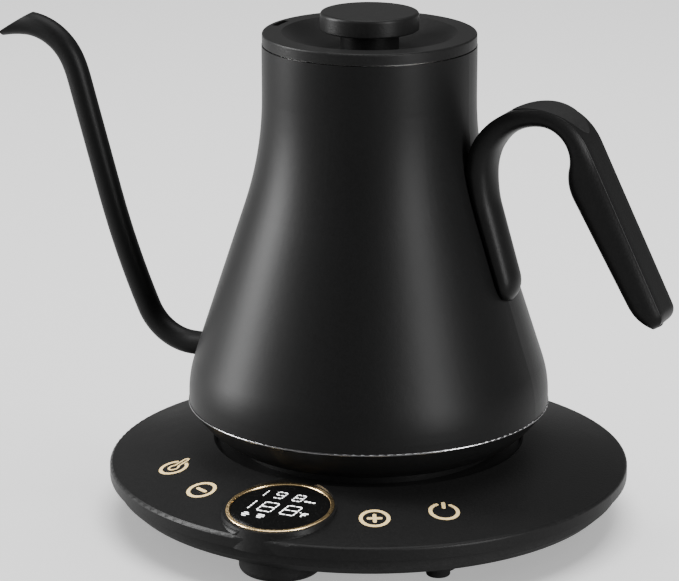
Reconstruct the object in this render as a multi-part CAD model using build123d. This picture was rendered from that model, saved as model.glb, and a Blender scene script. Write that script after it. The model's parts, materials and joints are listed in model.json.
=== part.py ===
from build123d import *
import os
from math import acos, atan2, cos, degrees, hypot, radians, sin, tan

# Gooseneck electric kettle on a round control base.
# Millimetres. +Z up, +X towards the handle, -Y towards the display.
# The origin is on the kettle's axis, in the plane of the base's feet.

# ---- base -------------------------------------------------------------
plate_r = 100.0            # outer radius of the base plate
plate_edge_z = 22.0        # height of the plate's upper edge
plate_slope = 12.2         # degrees, the plate rises towards the kettle
plate_wall = 2.2
band_h = 4.7               # straight side of the plate's edge
band_round = 1.0
seat_r = 59.4              # where the sloping plate ends in the kettle's seat
seat_step = 2.2
pad_in_r = 40.0            # raised ring that carries the kettle
pad_out_r = 50.0
shell_gap = 0.5            # the lower shell stands this far inside the band
shell_wall = 2.0
shell_turn_inset = 6.3     # the lower shell's side turns into its sloping floor here
shell_turn_z = 10.0
shell_flat_r = 73.0        # flat bottom of the lower shell
shell_flat_z = 1.9
foot_r = 4.5
foot_ring_r = 73.5
foot_seat = 1.9            # depth of the feet's pockets above the flat floor
foot_count = 4
case_screw_ring_r = 54.0
case_screw_count = 6
case_screw_first = 0.0     # degrees
screw_r = 1.4              # thread radius of the case screws
screw_head_r = 2.7
screw_head_h = 1.9
boss_wall = 2.2

# ---- display pod and touch icons --------------------------------------
pod_inset = 22.1           # centre of the pod, from the plate's edge
pod_rim = 0.9              # wall round the trim ring
pod_draft = 2.4            # the pod's wall stands this much further out at its foot
pod_flare = 1.7            # hollow round where the pod meets the plate's top
pod_tilt = 6.5             # degrees, the display leans outwards
pod_face_z = 27.0          # height of the display's centre
pod_bulge_r = 15.3         # round bulge of the lower shell under the pod
pod_bulge_z = 2.8
trim_r = 20.0
trim_w = 1.5
trim_h = 1.6
trim_proud = 0.25
lens_t = 1.4
module_ledge = 2.0         # ledge that carries the window
module_h = 4.6
icon_near_inset = 19.7     # plus and minus, from the plate's edge
icon_near_angle = 26.1     # degrees from the display
icon_far_inset = 21.2      # power and preset, from the plate's edge
icon_far_angle = 45.0
icon_r = 5.75
icon_stroke = 1.4
icon_bar_l = 5.8
icon_gap_w = 5.0           # opening of the power and preset rings
icon_bulb_r = 2.3
icon_tube_r = 1.35
icon_t = 0.6

# ---- electronics and cord outlet --------------------------------------
board_z = 8.5              # underside of the power board
board_t = 1.6
board_x = 42.0
board_y = 34.0
board_centre_y = 41.0
post_r = 2.6
touch_board_z = 17.2
touch_board_w = 16.0
touch_board_angle = 56.0   # degrees each side of the display
relay_size = (19.0, 15.0, 15.0)
capacitor_r = 5.0
capacitor_h = 14.0
transformer_size = (16.0, 16.0, 13.0)
buzzer_r = 4.6
buzzer_h = 3.6
gland_r = 4.2              # rubber bush of the cord outlet
gland_bore_r = 3.0
gland_lip = 0.8
gland_z = 11.9
outlet_inset = 2.4         # flat rear wall of the cord outlet, from the plate's edge
outlet_w = 19.0
outlet_z = 4.6

# ---- power connector --------------------------------------------------
socket_r = 16.5
socket_flange_r = 22.0
socket_flange_t = 2.0
socket_top_z = 39.0
plug_gap = 0.35            # clearance between the socket and the kettle's plug
plug_wall = 2.2
plug_flange_t = 1.8
plug_flange_w = 4.5        # how far the plug's flange reaches over the cover's floor
plug_play = 0.5
pin_r = 2.2
slot_in_r = 5.2            # first ring slot of the socket
slot_out_r = 9.6           # second ring slot
slot_w = 1.9
contact_t = 0.7
contact_ring_h = 9.0

# ---- kettle body ------------------------------------------------------
body_r = 69.0
neck_r = 40.35
body_wall = 1.0
neck_z = 165.0             # lower end of the straight neck
shoulder_radius = 43.0     # round between the cone and the body's foot
waist_radius = 133.5       # hollow round between the cone and the neck
body_foot_z = 46.6         # lower end of the vessel
shoulder_z = 49.3
neck_top_z = 184.6
rim_h = 0.7
rim_proud = 0.25
cover_foot_r = 56.4        # lower edge of the kettle's bottom cover
cover_foot_z = 33.2
cover_wall = 2.0
cover_round = 1.6
rest_gap = 0.3             # clearance between pieces of different bodies
fit_gap = 0.1              # clearance between assembled pieces of one body
thread_gap = 0.03          # between a screw and its pilot hole

# ---- heater -----------------------------------------------------------
floor_z = 52.0             # inside floor of the vessel
floor_t = 1.0
spreader_r = 50.0
spreader_t = 3.0
element_ring_r = 38.0
element_r = 3.4
element_gap_angle = 40.0   # degrees, open part of the element's ring
sensor_x = 20.0
sensor_r = 2.5
cover_screw_ring_r = 46.0
cover_screw_count = 3

# ---- spout ------------------------------------------------------------
spout_r = 4.7
spout_wall = 0.8
spout_z = 57.9             # height of the spout's root
spout_lead = 6.8           # level run of the root outside the widest radius
spout_bend_r = 21.5
spout_bend_angle = 65.5
spout_sweep_r = 323.5
spout_sweep_angle = 8.4
spout_straight = 46.9
spout_top_r = 44.2
spout_top_angle = 8.7
spout_beak_r = 23.1
lip_r = 48.0
lip_angle = 13.0
beak_cut_angle = 32.0      # degrees, slope of the pouring mouth
beak_cut_back = 3.2        # the cut starts this far before the level stretch ends

# ---- handle -----------------------------------------------------------
handle_w = 18.0
strap_t = 5.3              # how far the strap stands off the body
strap_foot_z = 93.0
strap_turn_t = 6.2         # how far it stands off the body at its turn
strap_turn_z = 127.5
strap_turn_r = 47.0
arch_in_r = 21.0
arch_hook_r = 12.4
arch_hook_extra = 12.0     # degrees the hook turns past the vertical
swell_r = 16.0
grip_in_angle = 30.3
grip_out_angle = 26.5
grip_foot_z = 90.0
arch_out_shift = -1.1      # from the inner round's centre to the outer round's
arch_out_r = 27.9
arch_out_rise = -0.95
arch_back_r = 22.8
arch_root_angle = 18.0
handle_round = 2.6
rest_shift = 3.0           # centre of the thumb rest, from the outer round's centre
rest_half_l = 14.8
rest_half_w = 8.0
rest_depth = 1.2
rest_proud = 0.25
foot_cut_x = 68.0          # the strap's round foot is cut on this side of it
bracket_t = 1.5
bracket_w = 9.0
bracket_foot_z = 106.0
bridge_sink = 3.0          # the block between plate and arm starts this far inside
bridge_lap = 1.0           # and ends this far past the arm's middle
bridge_h = 4.5
bridge_drop = 2.8          # foot of the block below the arm's start
bridge_cover = 4.0         # height of the block that the plate stands behind
tongue_t = 1.6
tongue_w = 8.0
tongue_shift = 0.5         # centre of the arm's curve, from the outer round's centre
tongue_rise = 0.5
tongue_r = 24.5
tongue_start = 184.0
tongue_end = 108.0
tongue_screw_angles = (132.0, 114.0)

# ---- lid --------------------------------------------------------------
lid_gap = 0.4              # dark line between the neck and the lid
lid_band_h = 4.2
lid_inset = 0.15           # the lid's band, inside the neck's outer face
lid_ring_w = 7.2
dish_depth = 7.0
lid_wall = 1.6
plug_clear = 0.95          # inner cover inside the neck
lid_plug_depth = 15.0
knob_r = 18.5
knob_top_z = 197.0
knob_t = 6.8
knob_round = 1.2
stem_r = 11.0
vent_inset = 3.1           # the steam slot, from the lid's edge
vent_w = 2.4
vent_angle = 15.5
seal_h = 3.6
dish_sag = 1.3

CENTRE = (Align.CENTER, Align.CENTER, Align.MIN)


def save(name, shape):
    """Writes one sub-part."""
    if isinstance(shape, (list, ShapeList)):
        shape = Compound(children=list(shape))
    export_step(shape, os.path.join("parts", name + ".step"))


def disc(radius, z, height, x=0.0, y=0.0):
    """A round block standing on z."""
    return Pos(x, y, z) * Cylinder(radius, height, align=CENTRE)


def tube(inner, outer, z, height, x=0.0, y=0.0):
    """A ring standing on z."""
    return disc(outer, z, height, x, y) - disc(inner, z, height, x, y)


def bar(length, width, height, x, y, z):
    """A block centred on x and y and standing on z."""
    return Pos(x, y, z) * Box(length, width, height, align=CENTRE)


def at(radius, z):
    """A point of a profile, in the plane y = 0."""
    return Vector(radius, 0, z)


def around(centre, radius, angle):
    """The point of a circle of the plane y = 0 at an angle above +X."""
    return centre + Vector(radius * cos(radians(angle)), 0, radius * sin(radians(angle)))


def bow(centre, radius, start, end):
    """An arc of the plane y = 0 between two angles."""
    return ThreePointArc(
        around(centre, radius, start),
        around(centre, radius, (start + end) / 2),
        around(centre, radius, end),
    )


def chain(points):
    """Straight lines through the points."""
    return [Line(first, second) for first, second in zip(points, points[1:])]


def turned(edges):
    """The solid of revolution of a closed profile."""
    return revolve(Face(Wire(edges)), axis=Axis.Z)


def turned_points(*points):
    """The solid of revolution of a closed polygon given as (radius, z)."""
    corners = [at(*point) for point in points]
    return turned(chain(corners + corners[:1]))


def ring_places(radius, count, first=0.0):
    """Places spread evenly on a circle."""
    return [
        (radius * cos(radians(first + 360 * n / count)), radius * sin(radians(first + 360 * n / count)))
        for n in range(count)
    ]


# ---- derived heights ---------------------------------------------------
boss_split_z = 14.0        # the two covers' screw bosses meet here
foot_top_z = shell_flat_z + foot_seat
slope = tan(radians(plate_slope))
seat_edge_z = plate_edge_z + (plate_r - seat_r) * slope
seat_z = seat_edge_z - seat_step
band_z = plate_edge_z - band_h
lid_z = neck_top_z + lid_gap
lid_top_z = lid_z + lid_band_h
pad_z = cover_foot_z - rest_gap
waist_x = neck_r + waist_radius          # centre of the hollow round
shoulder_x = body_r - shoulder_radius    # centre of the shoulder's round
# the cone's line touches both rounds; this is its angle from the kettle's axis
cone_angle = degrees(
    atan2(neck_z - shoulder_z, waist_x - shoulder_x)
    - acos((shoulder_radius + waist_radius) / hypot(neck_z - shoulder_z, waist_x - shoulder_x))
)
pod_y = pod_inset - plate_r
pod_r = trim_r + pod_rim
pod_foot_r = pod_r + pod_draft
module_r = trim_r - trim_w - module_ledge
shell_turn_r = plate_r - shell_turn_inset
icon_near_r = plate_r - icon_near_inset
icon_far_r = plate_r - icon_far_inset
touch_board_in_r = icon_far_r - touch_board_w / 2
touch_board_out_r = icon_far_r + touch_board_w / 2 + 2.0
outlet_y = plate_r - outlet_inset
spout_run = body_r + spout_lead
lid_r = neck_r - lid_inset
lid_ring_in_r = lid_r - lid_ring_w
vent_ring_r = lid_r - vent_inset
plug_r = neck_r - body_wall - plug_clear


def plate_z(radius):
    """Height of the sloping plate at a radius."""
    return plate_edge_z + (plate_r - radius) * slope


# ---- base ---------------------------------------------------------------
def pod_frame(depth=0.0):
    """The display's plane, its normal leaning outwards, moved down by depth."""
    normal = Vector(0, -sin(radians(pod_tilt)), cos(radians(pod_tilt)))
    origin = Vector(0, pod_y, pod_face_z) - normal * depth
    return Plane(origin=origin, x_dir=(1, 0, 0), z_dir=normal)


def pod_block(z, height):
    """Round pod block with a draft down to its foot and a hollow round on the plate's top."""
    top = z + height
    side = [at(pod_r, top), at(pod_r, pod_face_z), at(pod_foot_r, z)]
    outline = chain([at(0, top), *side, at(0, z), at(0, top)])
    foot = plate_edge_z - 0.2
    inner = pod_r + pod_draft * (pod_face_z - foot) / (pod_face_z - z) - 0.2
    reach = pod_flare + 0.2
    behind = inner - 2
    hollow = [
        bow(Vector(inner + reach, 0, foot + reach), reach, 180, 270),
        Line(at(inner + reach, foot), at(behind, foot)),
        Line(at(behind, foot), at(behind, foot + reach)),
        Line(at(behind, foot + reach), at(inner, foot + reach)),
    ]
    skirt = Pos(0, pod_y, 0) * turned(hollow)
    skirt &= disc(plate_r - band_round, z, height)
    return Pos(0, pod_y, 0) * turned(outline) + skirt


def display_cutter(above):
    """Everything above the display's face."""
    return pod_frame(-above) * Cylinder(60, 40, align=CENTRE)


def make_icon(name):
    """Flat outline of one touch icon, 'up' along +Y."""
    ring = Circle(icon_r) - Circle(icon_r - icon_stroke)
    level = SlotOverall(icon_bar_l, icon_stroke)
    if name == "minus":
        return ring + level
    if name == "plus":
        return ring + level + SlotOverall(icon_bar_l, icon_stroke, rotation=90)
    half = icon_gap_w / 2
    end_y = (icon_r - icon_stroke / 2) ** 2 - half**2
    ring -= Pos(0, icon_r) * Rectangle(icon_gap_w, 2 * icon_r)
    for x in (-half, half):
        ring += Pos(x, end_y**0.5) * Circle(icon_stroke / 2)
    if name == "power":
        return ring + Pos(0, icon_r * 0.72) * SlotOverall(icon_r * 0.8, icon_stroke, rotation=90)
    tube_l = icon_r * 1.2
    thermometer = Pos(0, tube_l / 2) * SlotOverall(tube_l + 2 * icon_tube_r, 2 * icon_tube_r, rotation=90)
    thermometer += Circle(icon_bulb_r)
    line = icon_stroke * 0.6
    thermometer -= Circle(icon_bulb_r - line)
    core = SlotOverall(tube_l + 2 * (icon_tube_r - line), 2 * (icon_tube_r - line), rotation=90)
    return ring + (thermometer - Pos(0, tube_l / 2) * core)


icon_table = {
    # name: (circle on the plate, place from the display, direction of the icon's upper side)
    "preset": (icon_far_r, -icon_far_angle, 73.0),
    "minus": (icon_near_r, -icon_near_angle, 64.0),
    "plus": (icon_near_r, icon_near_angle, 117.0),
    "power": (icon_far_r, icon_far_angle, 117.0),
}


def icon_solid(name, above=0.05):
    """One icon lying in the sloping plate."""
    radius, place, up = icon_table[name]
    spin = radians(-90 + place)
    tilt = radians(plate_slope)
    normal = Vector(sin(tilt) * cos(spin), sin(tilt) * sin(spin), cos(tilt))
    level = Vector(cos(radians(up - 90)), sin(radians(up - 90)), 0)
    across = level - normal * level.dot(normal)
    origin = Vector(radius * cos(spin), radius * sin(spin), plate_z(radius))
    plane = Plane(origin=origin, x_dir=across, z_dir=normal)
    flat = plane.offset(-icon_t) * make_icon(name)
    return extrude(flat, amount=icon_t + above, dir=tuple(normal))


def socket_screw_places():
    return ring_places(socket_r + 2.8, 3, 90)


def make_base_top_cover():
    hole_r = socket_r + fit_gap
    drop = plate_wall / cos(radians(plate_slope))
    edge_in = plate_r - plate_wall
    under_seat = seat_z - plate_wall
    round_start = at(plate_r - band_round, plate_z(plate_r - band_round))
    under_slope = at(seat_r + 2, plate_z(seat_r + 2) - drop)
    profile = [
        Line(at(hole_r, seat_z), at(pad_in_r, seat_z)),
        *chain([at(pad_in_r, seat_z), at(pad_in_r, pad_z), at(pad_out_r, pad_z), at(pad_out_r, seat_z)]),
        *chain([at(pad_out_r, seat_z), at(seat_r - 0.6, seat_z), at(seat_r - 0.6, seat_edge_z - 0.8)]),
        Line(at(seat_r - 0.6, seat_edge_z - 0.8), at(seat_r + 0.4, plate_z(seat_r + 0.4))),
        Line(at(seat_r + 0.4, plate_z(seat_r + 0.4)), round_start),
    ]
    corner = at(plate_r, plate_edge_z - band_round)
    middle = at(plate_r - 0.26 * band_round, plate_edge_z - 0.26 * band_round)
    profile += [
        ThreePointArc(round_start, middle, corner),
        *chain([corner, at(plate_r, band_z), at(edge_in, band_z), at(edge_in, plate_z(edge_in) - drop)]),
        *chain([at(edge_in, plate_z(edge_in) - drop), under_slope]),
        *chain([under_slope, at(seat_r - 1, under_seat), at(hole_r, under_seat)]),
        Line(at(hole_r, under_seat), at(hole_r, seat_z)),
    ]
    cover = turned(profile)
    pod_h = pod_face_z + 6 - band_z
    cover += pod_block(band_z, pod_h) - display_cutter(0)
    hollow = Pos(0, pod_y, band_z - 1) * Cylinder(module_r + 1.2, 60, align=CENTRE)
    room = disc(edge_in - 3.3, band_z - 1, plate_edge_z - band_z - 0.4)
    lens_room = pod_frame(trim_h) * Cylinder(trim_r + fit_gap / 2, 20, align=CENTRE)
    cover -= hollow
    cover -= room
    cover -= lens_room
    for x, y in ring_places(case_screw_ring_r, case_screw_count, case_screw_first):
        boss = disc(screw_r + boss_wall, boss_split_z, under_seat - boss_split_z + 0.2, x, y)
        cover += boss - disc(screw_r + thread_gap, boss_split_z - 1, 10, x, y)
    for x, y in socket_screw_places():
        cover -= disc(screw_r * 0.8, under_seat - 1, 2.2, x, y)
    for name in icon_table:
        cover -= icon_solid(name, 1.0)
    return cover


def shell_outline(inset, top):
    """Points of the lower shell's profile, from its top edge to its middle."""
    edge = plate_r - plate_wall - shell_gap
    return [
        at(edge - inset, top),
        at(edge - inset, band_z - 0.6 + inset * 0.35),
        at(shell_turn_r + 3.2 - inset * 0.9, shell_turn_z + 3.0 + inset * 0.5),
        at(shell_turn_r - inset * 0.5, shell_turn_z + inset * 0.9),
        at(shell_flat_r, shell_flat_z + inset),
        at(0, shell_flat_z + inset),
    ]


def board_posts():
    """Places of the posts that carry the power board."""
    return [
        (x * (board_x / 2 - 4), board_centre_y + y * (board_y / 2 - 4))
        for x in (-1, 1)
        for y in (-1, 1)
    ]


def make_base_bottom_cover():
    top = band_z + 2.4
    floor = shell_flat_z + shell_wall
    outside = shell_outline(0, top)
    inside = shell_outline(shell_wall, top)
    cover = turned(chain(outside + inside[::-1] + outside[:1]))
    bulge = disc(pod_bulge_r, pod_bulge_z, band_z - 0.3 - pod_bulge_z, 0, pod_y)
    cover += fillet(bulge.edges().group_by(Axis.Z)[0], 2.6)
    outlet = bar(outlet_w, 30, band_z - 0.3 - outlet_z, 0, outlet_y - 15, outlet_z)
    cover += fillet(outlet.edges().filter_by(Axis.Z).group_by(Axis.Y)[-1], 3.0)
    cover -= disc(pod_bulge_r - shell_wall, pod_bulge_z + shell_wall, 30, 0, pod_y)
    room = bar(outlet_w - 2 * shell_wall, 30, 20, 0, outlet_y - 15 - shell_wall, outlet_z + shell_wall)
    cover -= room - disc(shell_flat_r + 6, 0, 40)
    cover -= disc(pod_foot_r + shell_gap, band_z - 0.3, 20, 0, pod_y)
    for x, y in ring_places(case_screw_ring_r, case_screw_count, case_screw_first):
        cover += disc(screw_head_r + boss_wall, floor - 0.5, boss_split_z - floor + 0.4, x, y)
        cover -= disc(screw_r + 0.3, 0, 20, x, y)
        cover -= disc(screw_head_r + 0.3, 0, boss_split_z - 5.0, x, y)
    for x, y in ring_places(foot_ring_r, foot_count, 45):
        cover += disc(foot_r + boss_wall, foot_top_z - 0.4, 2.0, x, y)
        cover -= disc(foot_r + fit_gap, 0, foot_top_z, x, y)
    for x, y in board_posts():
        cover += disc(post_r, floor - 0.5, board_z - floor + 0.4, x, y)
        cover -= disc(screw_r * 0.7, floor + 1, 20, x, y)
    return cover - Pos(0, outlet_y, gland_z) * Rot(90, 0, 0) * Cylinder(gland_r + fit_gap / 2, 12)


def make_cord_gland():
    """Rubber bush in the rear wall; a cord runs through its bore."""
    axis = Pos(0, outlet_y, gland_z) * Rot(-90, 0, 0)
    lip = 1.3
    bush = axis * Pos(0, 0, -shell_wall - lip) * Cylinder(gland_r, shell_wall + 2 * lip, align=CENTRE)
    for start in (0.05, -shell_wall - lip - 0.05):
        bush += axis * Pos(0, 0, start) * Cylinder(gland_r + gland_lip, lip, align=CENTRE)
    return bush - axis * Cylinder(gland_bore_r, 40)


def make_feet():
    """Rubber feet in the lower shell's round pockets."""
    feet = []
    for x, y in ring_places(foot_ring_r, foot_count, 45):
        foot = disc(foot_r, 0, foot_top_z - fit_gap / 2, x, y)
        feet.append(fillet(foot.edges().group_by(Axis.Z)[0], 0.8))
    return feet


def make_power_board():
    board = bar(board_x, board_y, board_t, 0, board_centre_y, board_z)
    for x, y in board_posts():
        board -= disc(screw_r + 0.2, board_z - 1, 4, x, y)
    return board


def board_top():
    return board_z + board_t + 0.02


def make_relay():
    length, width, height = relay_size
    case = bar(length, width, height, -7.5, board_centre_y - 6, board_top())
    return chamfer(case.edges().filter_by(Axis.Z), 0.8)


def make_transformer():
    length, width, height = transformer_size
    x, y = 10.5, board_centre_y - 5
    core = bar(length, width * 0.55, height, x, y, board_top())
    return core + bar(length * 0.62, width, height * 0.8, x, y, board_top() + height * 0.1)


def make_capacitor():
    can = disc(capacitor_r, board_top(), capacitor_h, 5, board_centre_y + 10)
    return fillet(can.edges().group_by(Axis.Z)[-1], 0.8)


def make_buzzer():
    spin = radians(-90 + touch_board_angle - 4)
    x = icon_far_r * cos(spin)
    y = icon_far_r * sin(spin)
    can = disc(buzzer_r, touch_board_z - 0.02 - buzzer_h, buzzer_h, x, y)
    return can - disc(0.9, touch_board_z - 1 - buzzer_h, 2.5, x, y)


def make_touch_board():
    """Touch board, a broad arc under the icons and the display."""
    board = tube(touch_board_in_r, touch_board_out_r, touch_board_z, board_t)
    side = 300
    for sign in (-1, 1):
        spin = -90 + sign * touch_board_angle
        place = Vector(cos(radians(spin)), sin(radians(spin)), 0)
        across = Vector(-place.Y, place.X, 0) * sign
        middle = across * (side / 2)
        board -= Pos(middle.X, middle.Y, touch_board_z) * Rot(0, 0, spin) * Box(side, side, 10)
    board -= disc(3, touch_board_z - 1, 4, 0, pod_y)
    return board


def make_display():
    face = pod_frame(trim_h)
    trim = face * Cylinder(trim_r, trim_h + trim_proud, align=CENTRE)
    trim -= face * Cylinder(trim_r - trim_w, trim_h + 2, align=CENTRE)
    outer_edges = trim.edges().filter_by(GeomType.CIRCLE).sort_by(Axis.Z)[-2:]
    trim = fillet(outer_edges, 0.3)
    lens = face * Cylinder(trim_r - trim_w - fit_gap / 2, lens_t, align=CENTRE)
    module = pod_frame(trim_h + module_h + fit_gap) * Cylinder(module_r, module_h, align=CENTRE)
    return trim, lens, module


def make_touch_springs():
    """One sense spring under each icon, between the board and the plate."""
    springs = []
    for radius, place, _ in icon_table.values():
        spin = radians(-90 + place)
        x = radius * cos(spin)
        y = radius * sin(spin)
        foot = touch_board_z + board_t
        top = plate_z(radius + 3.2) - plate_wall / cos(radians(plate_slope)) - fit_gap
        coil = tube(2.2, 3.0, foot, top - foot, x, y)
        springs.append(coil)
    return springs


def make_power_socket():
    """Base side of the round connector, with two ring slots and a centre hole."""
    flange_top = seat_z - plate_wall - fit_gap
    body = disc(socket_r, flange_top - socket_flange_t - 6, socket_top_z - flange_top + socket_flange_t + 6)
    top_edges = body.edges().group_by(Axis.Z)[-1]
    body = fillet(top_edges, 1.2)
    body += disc(socket_flange_r, flange_top - socket_flange_t, socket_flange_t)
    body -= disc(pin_r + 0.4, socket_top_z - 12, 13)
    for radius in (slot_in_r, slot_out_r):
        body -= tube(radius, radius + slot_w, socket_top_z - contact_ring_h - 2, contact_ring_h + 3)
    for x, y in socket_screw_places():
        body -= disc(screw_r * 0.8 + 0.2, flange_top - socket_flange_t - 1, 10, x, y)
    return body


def make_socket_contacts():
    """Sprung contact rings at the bottom of the socket's slots."""
    foot = socket_top_z - contact_ring_h - 2
    return [
        tube(radius + slot_w - contact_t - fit_gap, radius + slot_w - fit_gap, foot, 5.0)
        for radius in (slot_in_r, slot_out_r)
    ]


def make_screws(places, head_z, length, head_r, radius, up=True):
    """Screws on vertical axes, heads down when up is true."""
    screws = []
    for x, y in places:
        if up:
            head = disc(head_r, head_z, screw_head_h, x, y)
            shank = disc(radius, head_z + screw_head_h, length, x, y)
            cross = bar(0.6, head_r * 1.2, 0.8, x, y, head_z)
        else:
            head = disc(head_r, head_z - screw_head_h, screw_head_h, x, y)
            shank = disc(radius, head_z - screw_head_h - length, length, x, y)
            cross = bar(0.6, head_r * 1.2, 0.8, x, y, head_z - 0.8)
        screws.append(head + shank - cross)
    return screws


# ---- kettle -------------------------------------------------------------
def vessel_line(inset, z_low, z_high):
    """The vessel's side from its top to its foot, moved inwards by inset."""
    waist = at(waist_x, neck_z)
    shoulder = at(shoulder_x, shoulder_z)
    upper = waist_radius + inset
    lower = shoulder_radius - inset
    return [
        Line(at(neck_r - inset, z_high), at(neck_r - inset, neck_z)),
        bow(waist, upper, 180, 180 + cone_angle),
        Line(around(waist, upper, 180 + cone_angle), around(shoulder, lower, cone_angle)),
        bow(shoulder, lower, cone_angle, 0),
        Line(at(body_r - inset, shoulder_z), at(body_r - inset, z_low)),
    ]


def vessel_x(z):
    """The vessel's outer radius at a height of its hollow round or its cone."""
    touch_z = neck_z - waist_radius * sin(radians(cone_angle))
    level = max(z, touch_z)
    arc_x = waist_x - (waist_radius**2 - (neck_z - level) ** 2) ** 0.5
    return arc_x + (level - z) * tan(radians(cone_angle))


def vessel_solid(inset, z_low=body_foot_z, z_high=neck_top_z):
    """The vessel's side filled to its axis."""
    closing = chain([at(body_r - inset, z_low), at(0, z_low), at(0, z_high), at(neck_r - inset, z_high)])
    return turned(vessel_line(inset, z_low, z_high) + closing)


def root_axis(length, radius):
    """A round bar along the spout's root."""
    return Pos(-spout_run + 10, 0, spout_z) * Rot(0, 90, 0) * Cylinder(radius, length)


def make_kettle_body():
    shell = vessel_solid(0) - vessel_solid(body_wall, body_foot_z - 1, neck_top_z + 1)
    return shell - root_axis(20, spout_r + fit_gap / 2)


def spout_path():
    """Centre line of the spout as straight runs and tangent arcs."""
    edges = []
    place = Vector(-body_r + 8, 0, spout_z)
    end = Vector(-spout_run, 0, spout_z)
    edges.append(Line(place, end))
    heading = 180.0
    place = end
    bends = [
        (spout_bend_r, -spout_bend_angle, 0),
        (spout_sweep_r, -spout_sweep_angle, spout_straight),
        (spout_top_r, spout_top_angle, 0),
        (spout_beak_r, spout_bend_angle + spout_sweep_angle - spout_top_angle, 0),
        (lip_r, lip_angle, 0),
    ]
    for radius, turn, run in bends:
        side = 90 if turn > 0 else -90
        centre = around(place, radius, heading + side)
        start = heading - side
        edges.append(bow(centre, radius, start, start + turn))
        place = around(centre, radius, start + turn)
        heading += turn
        if run:
            further = around(place, run, heading)
            edges.append(Line(place, further))
            place = further
    return edges


def make_spout():
    path = spout_path()
    start = Plane(origin=(-body_r + 8, 0, spout_z), z_dir=(-1, 0, 0))
    wire = Wire(path)
    outer = sweep(start * Circle(spout_r), path=wire)
    inner = sweep(start * Circle(spout_r - spout_wall), path=wire)
    pipe = outer - inner - vessel_solid(body_wall)
    level = path[-1] @ 0
    apex = level + Vector(beak_cut_back, 0, spout_r)
    fall = radians(beak_cut_angle)
    normal = Vector(-sin(fall), 0, cos(fall))
    cut = Plane(origin=apex, x_dir=(0, 1, 0), z_dir=normal)
    pipe -= cut * Box(40, 60, 30, align=CENTRE)
    return pipe


def make_strainer():
    """Perforated plate over the spout's root, inside the vessel."""
    plate = vessel_solid(body_wall + fit_gap) - vessel_solid(body_wall + fit_gap + 0.6)
    plate &= Pos(-body_r, 0, spout_z + 1.6) * Rot(0, 90, 0) * Cylinder(7.2, 40)
    for row in range(-2, 3):
        for column in range(-2, 3):
            if hypot(row, column) < 2.4:
                plate -= Pos(-body_r, column * 2.0, spout_z + row * 2.0) * Rot(0, 90, 0) * Cylinder(0.6, 40)
    return plate


def make_rim_band():
    """Polished hem around the vessel's foot."""
    inner = body_r - body_wall - 1.2
    band = turned_points(
        (inner, body_foot_z - fit_gap),
        (body_r + rim_proud, body_foot_z - fit_gap),
        (body_r + rim_proud, body_foot_z - fit_gap - rim_h),
        (inner, body_foot_z - fit_gap - rim_h),
    )
    outer = band.faces().filter_by(GeomType.CYLINDER).sort_by(SortBy.AREA)[-1]
    return fillet(outer.edges().filter_by(GeomType.CIRCLE), 0.3)


def cover_top_z():
    return body_foot_z - 2 * fit_gap - rim_h


def make_kettle_base_cover():
    top = cover_top_z()
    top_r = body_r - 0.3
    bulge = 0.7
    outer_mid = at((top_r + cover_foot_r) / 2 + bulge, (top + cover_foot_z) / 2 - bulge)
    inner_mid = at((top_r + cover_foot_r) / 2 + bulge - cover_wall, (top + cover_foot_z) / 2 - bulge + 0.6)
    hole = socket_r + plug_gap + plug_wall + plug_play
    outside = ThreePointArc(at(top_r, top), outer_mid, at(cover_foot_r, cover_foot_z))
    inside = ThreePointArc(
        at(cover_foot_r - cover_wall, cover_foot_z + cover_wall), inner_mid, at(top_r - cover_wall, top)
    )
    profile = [
        outside,
        Line(at(cover_foot_r, cover_foot_z), at(hole, cover_foot_z)),
        Line(at(hole, cover_foot_z), at(hole, cover_foot_z + cover_wall)),
        Line(at(hole, cover_foot_z + cover_wall), at(cover_foot_r - cover_wall, cover_foot_z + cover_wall)),
        inside,
        Line(at(top_r - cover_wall, top), at(top_r, top)),
    ]
    cover = turned(profile)
    foot_edge = cover.edges().filter_by(GeomType.CIRCLE).filter_by_position(
        Axis.Z, cover_foot_z - 0.01, cover_foot_z + 0.01
    ).sort_by(SortBy.RADIUS)[-1]
    cover = fillet([foot_edge], cover_round)
    for x, y in ring_places(cover_screw_ring_r, cover_screw_count, 60):
        cover += disc(screw_head_r + 1.6, cover_foot_z, 5.0, x, y)
        cover -= disc(screw_r + 0.3, 0, 60, x, y)
        cover -= disc(screw_head_r + 0.3, 0, cover_foot_z + 2.6, x, y)
    return cover


def make_heating_plate():
    """Stainless floor of the vessel."""
    plate = disc(body_r - body_wall - 0.4, floor_z - floor_t, floor_t)
    return plate - disc(sensor_r + fit_gap, floor_z - 5, 10, sensor_x)


def spreader_z():
    return floor_z - floor_t - fit_gap - spreader_t


def make_heat_spreader():
    """Aluminium plate brazed under the floor, with posts for the cover's screws."""
    plate = disc(spreader_r, spreader_z(), spreader_t)
    for x, y in ring_places(cover_screw_ring_r, cover_screw_count, 60):
        foot = cover_foot_z + 5.0 + fit_gap
        plate += disc(3.4, foot, spreader_z() - foot + 0.5, x, y)
        plate -= disc(screw_r - 0.2, foot - 1, 8, x, y)
    return plate - disc(sensor_r + 1.2, floor_z - 8, 10, sensor_x)


def element_level():
    return spreader_z() - fit_gap - element_r


def make_element():
    """Tubular heating element, an open ring with its two cold ends turned down."""
    half = radians(element_gap_angle / 2)
    spots = [half, radians(180), -half]
    level = element_level()
    first, middle, last = [
        Vector(element_ring_r * cos(spot), element_ring_r * sin(spot), level) for spot in spots
    ]
    arc = ThreePointArc(first, middle, last)
    plane = Plane(origin=first, z_dir=arc % 0)
    ring = sweep(plane * Circle(element_r - 0.1), path=Wire([arc]))
    flat = bar(200, 200, 10, 0, 0, level + element_r - 0.6)
    return ring - flat


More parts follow.
